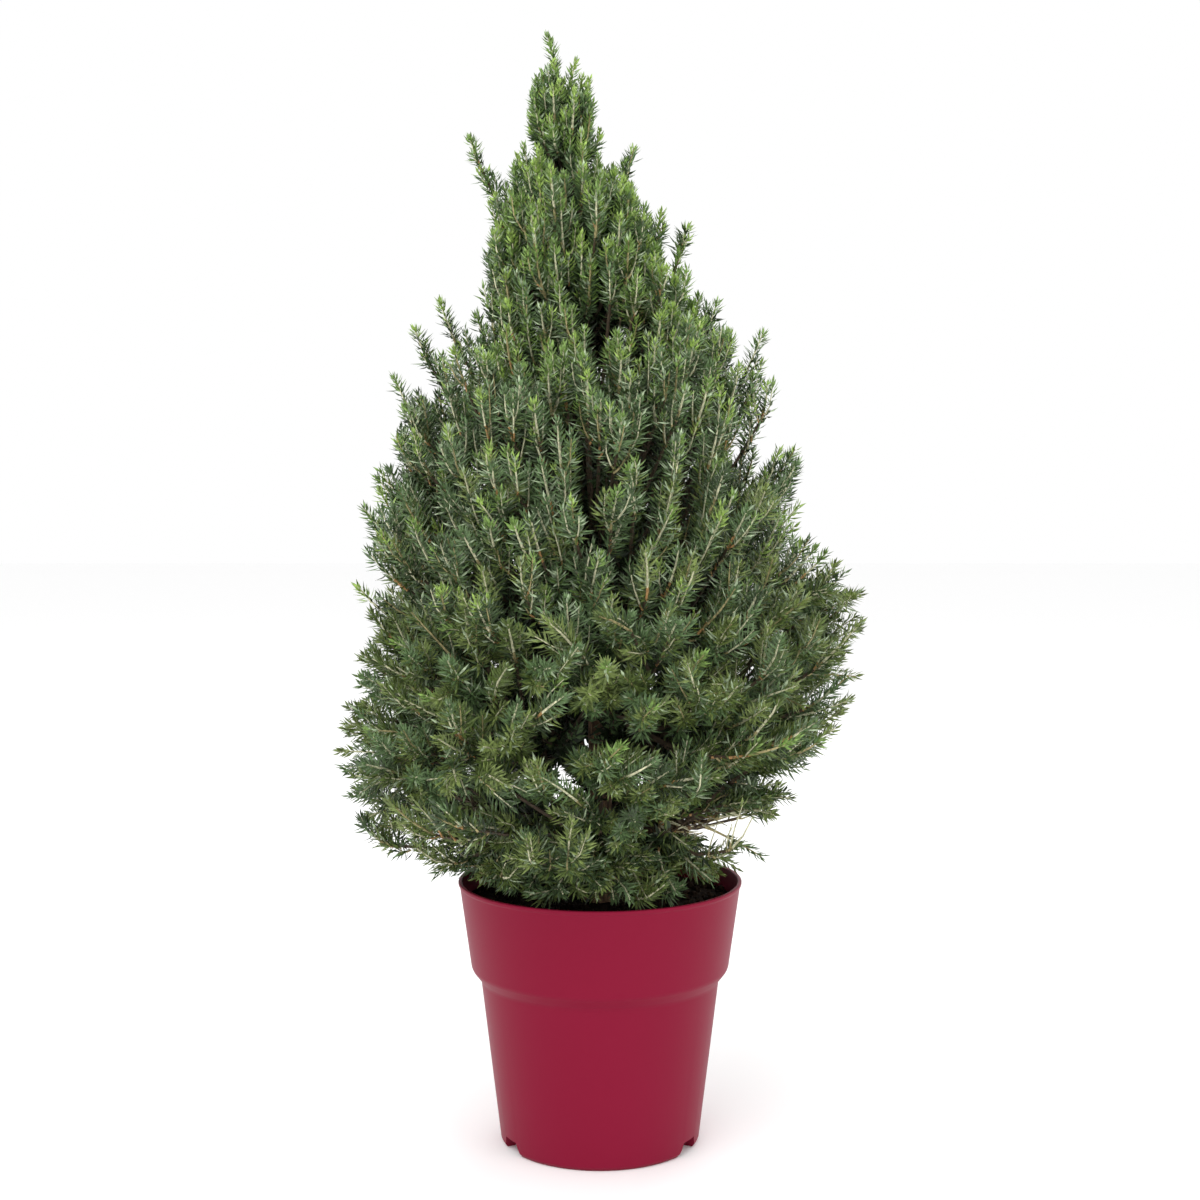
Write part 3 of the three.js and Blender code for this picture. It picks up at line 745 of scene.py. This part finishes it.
# out from the trunk, up along the masses' growth line, and on inside its mass as the stem
def growBough(bm, space):
    tier = space["tier"]
    at, start, direction = growthLine(space)
    height = tierHeight(tier, 0, space["layer"])
    thickness = mixed(1, bough["thinning"], tier / tiersOnBoughs)
    radius, tipRadius = bough["radius"] * thickness, bough["tipRadius"] * thickness
    foot = crownPoint(trunkRadius(height) - radius, space["azimuth"], height)
    elbow = foot + outwardFrom(space["azimuth"]) * bough["elbow"]
    curve = [foot, elbow, at(start) - direction * bough["straight"], at(start), stemPath(space)[1]]
    widths = [radius * 1.5, radius, mixed(radius, tipRadius, 0.6), tipRadius, tipRadius * 0.45]
    points, radii = [], []
    for (near, nearWidth), (far, farWidth) in zip(zip(curve, widths), zip(curve[1:], widths[1:])):
        for step in range(bough["steps"]):
            points.append(near.lerp(far, step / bough["steps"]))
            radii.append(mixed(nearWidth, farWidth, step / bough["steps"]))
    growLimb(bm, points + [curve[-1]], radii + [widths[-1]], bough["sides"])


def roughenBark(bm):
    bmesh.ops.recalc_face_normals(bm, faces=bm.faces)
    bm.normal_update()
    shifts = [(corner, corner.normal.copy(), barkRelief(corner.co)) for corner in bm.verts]
    for corner, normal, relief in shifts:
        fromAxis = math.dist(corner.co, (leanAt(corner.co.z), 0, corner.co.z))
        corner.co += normal * relief * trunk["relief"] * min(1, fromAxis / trunk["smoothRadius"])
        corner.co.z = max(corner.co.z, trunk["foot"])


def makeLimbs():
    bm = bmesh.new()
    growTrunk(bm)
    for space in allSpaces():
        if space["tier"] < tiersOnBoughs:
            growBough(bm, space)
    roughenBark(bm)
    made = addObject("trunkAndBoughs", meshFromBmesh("trunkAndBoughs", bm), barkFinish())
    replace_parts(made, *limbNodes)
    print("trunk and boughs", len(made.data.polygons), "faces")


# Twigs and needles, gathered as arrays and joined by colour

needle = {
    "width": 0.0017,
    "thickness": 0.00045,
    "widest": 0.42,  # share of its length
    "perMetre": 1750,
    "oldPerMetre": 700,
    "fewest": 3,  # on a stretch of twig that has any
    "spiral": 137.5,  # degrees from one needle to the next
    "jitter": 0.25,  # in its place round the twig and in how flat it lies
    "spreadJitter": 8,  # degrees
    "tipSpread": 24,  # degrees off the twig at the shoot's tip
    "tipStart": 0.6,  # share of the shoot, from where they close in
    "upturn": 0.08,
    "length": (0.78, 1.1),  # times its tier's
    "outset": 0.0003,  # from the twig's axis
    "outerShare": 0.2,  # kept on the side away from the trunk, where the twig shows
    "shadedWidth": 1.9,  # times wider deep inside, and as much fewer
    "mostInPiece": 45000,
}

twig = {
    "radius": 0.0012,
    "rings": 3,
    "branchletSize": 0.9,  # times the radius
    "sideSize": 0.65,
    "stemSize": (2.1, 1),
    "shadedSize": (1, 0.4),
    "warmEnd": (0.08, 0.36),  # share of a shoot's twig, up to which it is tan or orange
    "orangeShare": 0.4,
    "creamShare": 0.8,
}

# the shares of a shoot at which its needles change colour
colorStops = {
    "low": (0.25, 0.45),
    "high": (0.62, 0.78),
    "shaded": 0.7,
    "old": 0.55,
    "slender": 0.4,
    "jitter": 0.05,
}

needleColors = {
    # the darkest, for old wood and for shaded shoots deep inside: painted shade, with some of the real
    # darkness of old needles
    "OldAndPaintedShade": (0.013, 0.027, 0.006),
    "Deep": (0.041, 0.073, 0.023),
    "Green": (0.098, 0.164, 0.062),
    # a lighter grey, the painted sheen: it stands in for light caught on waxy needles
    "PaintedSheenGrey": (0.320, 0.400, 0.250),
    "Olive": (0.158, 0.210, 0.056),
    "Moss": (0.087, 0.128, 0.028),
    "Fresh": (0.160, 0.262, 0.060),
    "Tip": (0.256, 0.380, 0.080),
}

twigColors = {
    "twigsCream": (0.68, 0.66, 0.44),
    "twigsTan": (0.38, 0.32, 0.15),
    "twigsOrange": (0.52, 0.29, 0.115),
    "twigsBrown": (0.085, 0.058, 0.034),
}

# how each tier's needle colours are dealt out: equal chances for a shoot's lower part, upper part and tip
tierColors = [
    {"low": ("Moss", "Deep", "Moss"), "high": ("Olive", "Moss", "Green", "Deep"), "tip": ("Olive", "Green")},
    {"low": ("Moss", "Deep", "Green"), "high": ("Olive", "Moss", "Green"), "tip": ("Olive", "Fresh")},
    {"low": ("Deep", "Green", "Moss"), "high": ("Green", "Deep", "Olive"), "tip": ("Fresh", "Tip")},
    {"low": ("Deep", "Green", "Moss"), "high": ("Green", "Deep", "Green"), "tip": ("Fresh", "Tip")},
    {"low": ("Deep", "Green", "Moss"), "high": ("Green", "Deep", "Fresh"), "tip": ("Fresh", "Tip")},
    {"low": ("Deep", "Green"), "high": ("Green", "Fresh", "Green"), "tip": ("Tip", "Fresh")},
    {"low": ("Deep", "Green"), "high": ("Green", "Fresh"), "tip": ("Tip", "Fresh")},
]

needleCorners = {kind: [] for kind in needleColors}
twigCurves = {kind: [] for kind in twigColors}
needleFaces = np.array([(0, 2, 1), (3, 1, 2), (0, 1, 3), (3, 2, 0)])


def unit(vectors):
    return vectors / np.linalg.norm(vectors, axis=-1, keepdims=True)


def curveAt(curve, shares):
    root, bend, tip = curve
    shares = shares[:, None]
    return (1 - shares) ** 2 * root + 2 * shares * (1 - shares) * bend + shares ** 2 * tip


def curveHeading(curve, shares):
    root, bend, tip = curve
    shares = shares[:, None]
    return unit((1 - shares) * (bend - root) + shares * (tip - bend) + 1e-9)


def curveLength(curve):
    points = curveAt(curve, np.linspace(0, 1, 9))
    return np.linalg.norm(np.diff(points, axis=0), axis=1).sum()


# two directions square to each heading: steep ones, over 0.75 of the way up, are guided by another axis
def squareTo(headings, steepness):
    guide = np.where(np.abs(steepness) > 0.75, np.array([1.0, 0.1, 0]), np.array([0, 0.1, 1.0]))
    first = unit(np.cross(guide, headings))
    return first, np.cross(headings, first)


# needles from one share of a curve to another; their colours change at the shares in `stops`
def addNeedles(curve, span, perMetre, style, stops, draws, width=1, paintedSheenShare=0):
    low, high = span
    count = int(curveLength(curve) * (high - low) * perMetre)
    if count < needle["fewest"]:
        return
    shares = low + (high - low) * (np.arange(count) + draws.random(count)) / count
    along = (shares - low) / (high - low)
    headings = curveHeading(curve, shares)
    first, second = squareTo(headings, headings[:, 2:])
    turns = np.radians(np.arange(count) * needle["spiral"]) + draws.normal(0, needle["jitter"], count)
    outward = first * np.cos(turns)[:, None] + second * np.sin(turns)[:, None]
    tipward = np.clip((along - needle["tipStart"]) / (1 - needle["tipStart"]), 0, 1) ** 1.5
    spread = mixed(style["spread"], needle["tipSpread"], tipward)
    angles = np.radians(spread + draws.normal(0, needle["spreadJitter"], count))
    pointing = headings * np.cos(angles)[:, None] + outward * np.sin(angles)[:, None]
    pointing[:, 2] += needle["upturn"]
    pointing = unit(pointing)
    fullness = 0.58 + 0.42 * np.sin(np.pi * np.clip(along * 1.08, 0, 1))  # shorter at both ends
    lengths = style["needle"] * fullness * draws.uniform(*needle["length"], count)
    side = unit(np.cross(pointing, headings) + draws.normal(0, needle["jitter"], (count, 3)))
    side = unit(side - pointing * (side * pointing).sum(1, keepdims=True))
    above = np.cross(pointing, side)
    base = curveAt(curve, shares) + outward * needle["outset"]
    middle = base + pointing * (lengths * needle["widest"])[:, None] + above * needle["thickness"]
    half = side * (needle["width"] * width / 2)
    corners = np.stack([base, middle + half, middle - half, base + pointing * lengths[:, None]], axis=1)
    order = np.searchsorted([stop for stop, _ in stops], along + draws.normal(0, colorStops["jitter"], count))
    order = np.minimum(order, len(stops) - 1)
    # a share of the needles is a lighter grey: a painted sheen that stands in for light caught on waxy
    # needles
    paintedSheen = draws.random(count) < paintedSheenShare
    clear = ~inOpening(corners[:, 3]) & ~inOpening(corners[:, 0])
    corners, order, paintedSheen = corners[clear], order[clear], paintedSheen[clear]
    if paintedSheenShare:
        away = unit(np.array([curve[2][0] - leanAt(curve[2][2]), curve[2][1], 0.02]))  # from the trunk
        kept = (outward[clear] @ away < 0.5) | (tipward[clear] > 0.1)
        kept |= draws.random(len(paintedSheen)) < needle["outerShare"]
        corners, order, paintedSheen = corners[kept], order[kept], paintedSheen[kept]
    needleCorners["PaintedSheenGrey"].append(corners[paintedSheen])
    for index, (_, kind) in enumerate(stops):
        needleCorners[kind].append(corners[(order == index) & ~paintedSheen])


def pick(kinds, draws):
    return kinds[int(draws.random() * len(kinds))]


# a leading shoot has a bright tip, and a shaded one deep inside is near-black: painted shade,
# with some of the real darkness of old needles
def addShoot(curve, tier, start, draws, rank):
    style, colors = tierShoots[tier], tierColors[tier]
    low, high = pick(colors["low"], draws), pick(colors["high"], draws)
    if rank == "shaded":
        width = needle["shadedWidth"]
        stops = [(colorStops["shaded"], "OldAndPaintedShade"), (1, low)]
        addNeedles(curve, (start, 1), needle["perMetre"] / width, style, stops, draws, width)
        return
    tip = pick(colors["tip"], draws) if rank == "leading" else high
    stops = [(draws.uniform(*colorStops["low"]), low), (draws.uniform(*colorStops["high"]), high), (1, tip)]
    perMetre = needle["perMetre"] * style["crowding"]
    addNeedles(curve, (start, 1), perMetre, style, stops, draws, 1, style["paintedSheen"])


# needles on the older wood below a branchlet's shoot; their near-black part is painted shade deep in the
# crown, with some of the real darkness of old needles
def addOldNeedles(curve, span, tier, draws, rank):
    colors = tierColors[tier]
    width, perMetre = branching["oldWidth"], needle["oldPerMetre"]
    if rank == "shaded":
        width = needle["shadedWidth"]
        stops = [(1, "OldAndPaintedShade")]
    else:
        stops = [(colorStops["old"], "OldAndPaintedShade"), (1, pick(colors["low"], draws))]
    if rank == "slender":
        perMetre = needle["perMetre"] * branching["slenderNeedles"]
        stops = [(colorStops["slender"], pick(colors["low"], draws)), (1, pick(colors["high"], draws))]
    addNeedles(curve, span, perMetre / width, tierShoots[tier], stops, draws, width)


def bentCurve(start, direction, aim, length):
    place, share = branching["bendPlace"], branching["bendShare"]
    bend = start + direction * length * place
    heading = unit((1 - share) * direction + share * aim)
    return np.array([start, bend, bend + heading * length * (1 - place)])


def partOf(curve, low, high):
    points = curveAt(curve, np.array([low, high]))
    near = (1 - high) * curve[0] + high * curve[1]
    far = (1 - high) * curve[1] + high * curve[2]
    return np.array([points[0], (1 - low) * near + low * far, points[1]])


# a twig's bark: brown old wood up to the neck, then orange or tan, and pale towards the tip
def addTwig(curve, neck, rank, draws, size):
    if rank == "shaded":
        twigCurves["twigsBrown"].append((curve, *twig["shadedSize"]))
        return
    if neck > 0:
        twigCurves["twigsBrown"].append((partOf(curve, 0, neck), size * 1.5, size))
    base = neck + (1 - neck) * draws.uniform(*twig["warmEnd"])
    warm = "twigsOrange" if draws.random() < twig["orangeShare"] else "twigsTan"
    twigCurves[warm].append((partOf(curve, neck, base), size, size * 0.9))
    pale = "twigsCream" if draws.random() < twig["creamShare"] else "twigsTan"
    twigCurves[pale].append((partOf(curve, base, 1), size * 0.9, size * 0.4))


def outlineRoom(point):
    x = point[0] - leanAt(point[2])
    return crownRadius(point[2], math.atan2(point[1], x)) - math.hypot(x, point[1])


# a side shoot that keeps to the outline: where no try does, a slender shoot gets a short one and others none
def sideShoot(curve, share, aim, length, draws, slender):
    share = np.array([share])
    start = curveAt(curve, share)[0]
    direction = curveHeading(curve, share)[0]
    first, second = squareTo(direction, direction[2])
    for attempt in range(branching["sideTries"]):
        turn = draws.uniform(0, 2 * math.pi)
        outward = first * math.cos(turn) + second * math.sin(turn)
        angle = math.radians(draws.uniform(*branching["sideAngle"]))
        leaving = direction * math.cos(angle) + outward * math.sin(angle)
        side = bentCurve(start, leaving, aim, length * (1 - branching["sideShrink"] * attempt))
        if outlineRoom(side[2]) > -branching["margin"] and side[2][2] > crown["foot"]:
            return side
    return bentCurve(start, leaving, aim, length * branching["smallestSide"]) if slender else None


def growSides(curve, neck, shoot, aim, tier, draws, rank):
    style = tierShoots[tier]
    slender = rank == "slender"
    length = curveLength(curve)
    for _ in range(1 if rank == "shaded" else style["sides"]):
        share = max(branching["lowestSide"], neck - draws.uniform(*branching["sidePlace"]) * shoot / length)
        sideLength = shoot * draws.uniform(*branching["sideLength"])
        side = sideShoot(curve, share, aim, sideLength, draws, slender)
        if side is None or (slender and side[2][2] >= curve[2][2] - branching["behindTip"]):
            continue
        leads = draws.random() < branching["sideLeads"] * style["bright"]
        sideRank = "shaded" if rank == "shaded" else "leading" if leads else "side"
        addTwig(side, 0, sideRank, draws, twig["sideSize"])
        addShoot(side, tier, branching["sideFoot"], draws, sideRank)


# `rank` is leading, slender for a tip that stands out, or shaded deep inside
def growBranchlet(space, stem, tip, steepness, draws, rank):
    tier = space["tier"]
    style = tierShoots[tier]
    slender = rank == "slender"
    azimuth = math.atan2(tip.y, tip.x - leanAt(tip.z))
    swing = 0 if slender else math.radians(draws.normal(0, style["wander"]))
    heading = outwardFrom(azimuth + swing) * math.cos(steepness) + Vector((0, 0, math.sin(steepness)))
    if slender:
        tip = tip - heading * style["needle"] * 0.5
    root = stem[0].lerp(stem[1], mixed(0.1, 1, draws.random()))
    shoot = style["length"] * draws.uniform(*branching["shootLength"])
    room = (tip - root).length
    bend = tip - heading * min(branching["longestUpturn"] * room, shoot * branching["upturn"])
    curve = np.array([root, bend, tip])
    length = curveLength(curve)
    neck = max(branching["shortestNeck"], 1 - shoot / length)
    bright = slender or draws.random() < style["bright"]
    shootRank = "shaded" if rank == "shaded" else "leading" if bright else "side"
    addTwig(curve, neck, shootRank, draws, twig["branchletSize"])
    old = max(0, neck - branching["slenderWood" if slender else "oldWood"] / length)
    if old < neck:
        addOldNeedles(curve, (old, neck), tier, draws, rank)
    addShoot(curve, tier, neck, draws, shootRank)
    growSides(curve, neck, shoot, np.array(heading), tier, draws, rank)


def insideSector(tip, space):
    tier = space["tier"]
    x = tip.x - leanAt(tip.z)
    radius = math.hypot(x, tip.y)
    turn = math.atan2(tip.y, x) - space["azimuth"]
    offCentre = abs(math.atan2(math.sin(turn), math.cos(turn)))
    above = tip.z > tierFloor(tier, radius) or tier == 0
    return above and tip.z < tierFloor(tier + 1, radius) and offCentre < space["halfAngle"]


# 0 outside the hollows and 1 deep inside one
def hollowAt(azimuth, radius, height):
    place = crownPoint(radius, azimuth, height) * hollow["scale"]
    return min(1, max(0, (noise.noise(place) - hollow["level"]) * hollow["steepness"]))


# where the branchlets of a mass end, each with its rank
def branchletTips(space, draw):
    tier = space["tier"]
    rows, columns = tierGrid[tier]
    needleReach = tierShoots[tier]["needle"] * mass["needleRoom"]
    tips = []
    for row in range(rows):
        for column in range(columns):
            shift = (0.5 if row % 2 else -0.5) / columns + (draw() - 0.5) * mass["jitter"]
            across = mixed(-mass["widestColumn"], mass["widestColumn"], column / (columns - 1)) + shift
            layer = mixed(mass["lowestRow"], mass["highestRow"], row / (rows - 1))
            layer += (draw() - 0.5) * mass["jitter"] / 2
            azimuth = space["azimuth"] + across * space["halfAngle"]
            outline = layerRadius(tier, azimuth, layer)
            depth = hollowAt(azimuth, outline, tierHeight(tier, outline, layer))
            radius = (outline - needleReach) * mixed(mass["shallowest"], 1, draw() ** 0.5)
            radius *= 1 - hollow["depth"] * depth
            height = tierHeight(tier, radius, layer)
            if draw() > hollow["missing"] * depth and height < crown["top"] - mass["leaderRoom"]:
                tips.append((crownPoint(radius, azimuth, height), "leading"))
            if draw() < mass["innerShare"]:
                radius = outline * mixed(*mass["innerReach"], draw())
                height = tierHeight(tier, radius, layer)
                if height < crown["top"] - 2 * mass["leaderRoom"]:
                    tips.append((crownPoint(radius, azimuth, height), "shaded"))
    for azimuth, radius, height in leadingTips + finerTips:
        tip = crownPoint(radius, math.radians(azimuth), height)
        if insideSector(tip, space):
            tips.append((tip, "slender"))
    return tips


def growMass(space):
    tier = space["tier"]
    draws = np.random.default_rng(space["seed"])
    style = tierShoots[tier]
    stem = stemPath(space)
    for tip, rank in branchletTips(space, seededDraws(space["seed"])):
        lift = style["lift"] + draws.normal(0, style["wander"] / 2)
        if rank == "slender":
            hanging = tip.z < crown["foot"] + branching["dipRoom"]
            lift = branching["dip"] if hanging else style["lift"] + branching["slenderLift"]
        growBranchlet(space, stem, tip, math.radians(lift), draws, rank)
    if tier >= tiersOnBoughs:
        stemCurve = np.array([stem[0], stem[0].lerp(stem[1], 0.5), stem[1]])
        twigCurves["twigsBrown"].append((stemCurve, *twig["stemSize"]))


def joinedPiece(name, points, faces, material):
    mesh = bpy.data.meshes.new(name)
    mesh.vertices.add(len(points))
    mesh.vertices.foreach_set("co", points.astype(np.float32).ravel())
    mesh.loops.add(faces.size)
    mesh.loops.foreach_set("vertex_index", faces.astype(np.int32).ravel())
    mesh.polygons.add(len(faces))
    mesh.polygons.foreach_set("loop_start", np.arange(0, faces.size, 3, dtype=np.int32))
    mesh.update(calc_edges=True)
    mesh.shade_flat()
    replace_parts(addObject(name, mesh, material), *foliageNodes)
    print(name, len(faces), "triangles")
    return len(faces)


def scaledColor(color, share):
    return tuple(channel * share for channel in color)


# a waxy needle, lighter and darker from one to the next
def needleFinish(kind):
    color = needleColors[kind]
    finish = Finish(f"needles{kind}Finish", **{"Roughness": 0.5})
    mottle = finish.grain(260, 2)
    stops = [(0.36, scaledColor(color, 0.55)), (0.5, color), (0.66, scaledColor(color, 1.5))]
    finish.set({"Base Color": finish.node("ShaderNodeValToRGB", {"stops": stops}, {"Fac": mottle})})
    return finish.material


def twigFinish(kind):
    color = twigColors[kind]
    finish = Finish(kind + "Finish", **{"Roughness": 0.75})
    scale = finish.grain(520, 3)
    stops = [(0.38, scaledColor(color, 0.6)), (0.55, color), (0.7, scaledColor(color, 1.15))]
    color = finish.node("ShaderNodeValToRGB", {"stops": stops}, {"Fac": scale})
    finish.set({"Base Color": color, "Normal": finish.bump(scale, 0.5, 0.0004)})
    return finish.material


def joinNeedles():
    total = 0
    for kind, batches in needleCorners.items():
        corners = np.concatenate(batches)
        material = needleFinish(kind)
        parts = math.ceil(len(corners) / needle["mostInPiece"])
        for index, part in enumerate(np.array_split(corners, parts)):
            faces = needleFaces[None] + 4 * np.arange(len(part))[:, None, None]
            name = f"needles{kind}" if parts == 1 else f"needles{kind}{index + 1}"
            total += joinedPiece(name, part.reshape(-1, 3), faces.reshape(-1, 3), material)
    return total


# three-sided tubes along all the curves of one kind, with closed ends
def twigMesh(curves, rings):
    shares = np.linspace(0, 1, rings)
    points = np.stack([curveAt(curve, shares) for curve, _, _ in curves])
    headings = np.stack([curveHeading(curve, shares) for curve, _, _ in curves])
    radii = np.stack([np.linspace(foot, tip, rings) for _, foot, tip in curves]) * twig["radius"]
    first, second = squareTo(headings, headings[:, :1, 2:])
    sides = []
    for side in range(3):
        angle = side / 3 * 2 * math.pi
        sides.append(points + (first * math.cos(angle) + second * math.sin(angle)) * radii[..., None])
    corners = np.stack(sides, axis=2)
    faces = [(0, 2, 1)]
    for ring in range(0, rings * 3 - 3, 3):
        for side in range(3):
            after = (side + 1) % 3
            faces.append((ring + side, ring + after, ring + after + 3))
            faces.append((ring + side, ring + after + 3, ring + side + 3))
    last = rings * 3 - 3
    faces.append((last, last + 1, last + 2))
    faces = np.array(faces)[None] + np.arange(len(curves))[:, None, None] * rings * 3
    return corners.reshape(-1, 3), faces.reshape(-1, 3)


def joinTwigs():
    total = 0
    for kind, curves in twigCurves.items():
        points, faces = twigMesh(curves, twig["rings"])
        total += joinedPiece(kind, points, faces, twigFinish(kind))
    return total


def makeFloor():
    bm = bmesh.new()
    bmesh.ops.create_grid(bm, x_segments=1, y_segments=1, size=studio["floorSize"] / 2)
    mesh = meshFromBmesh("studioFloor", bm, False)
    finish = Finish("palePaper", **{"Base Color": studio["floorColor"], "Roughness": 0.9})
    mesh.materials.append(finish.material)
    floor = bpy.data.objects.new("studioFloor", mesh)
    bpy.context.scene.collection.objects.link(floor)


addCamera()
addLamps()
makeFloor()
makePot()
makeSoil()
makeLimbs()
for space in allSpaces():
    growMass(space)
print("crown", joinNeedles() + joinTwigs(), "triangles")
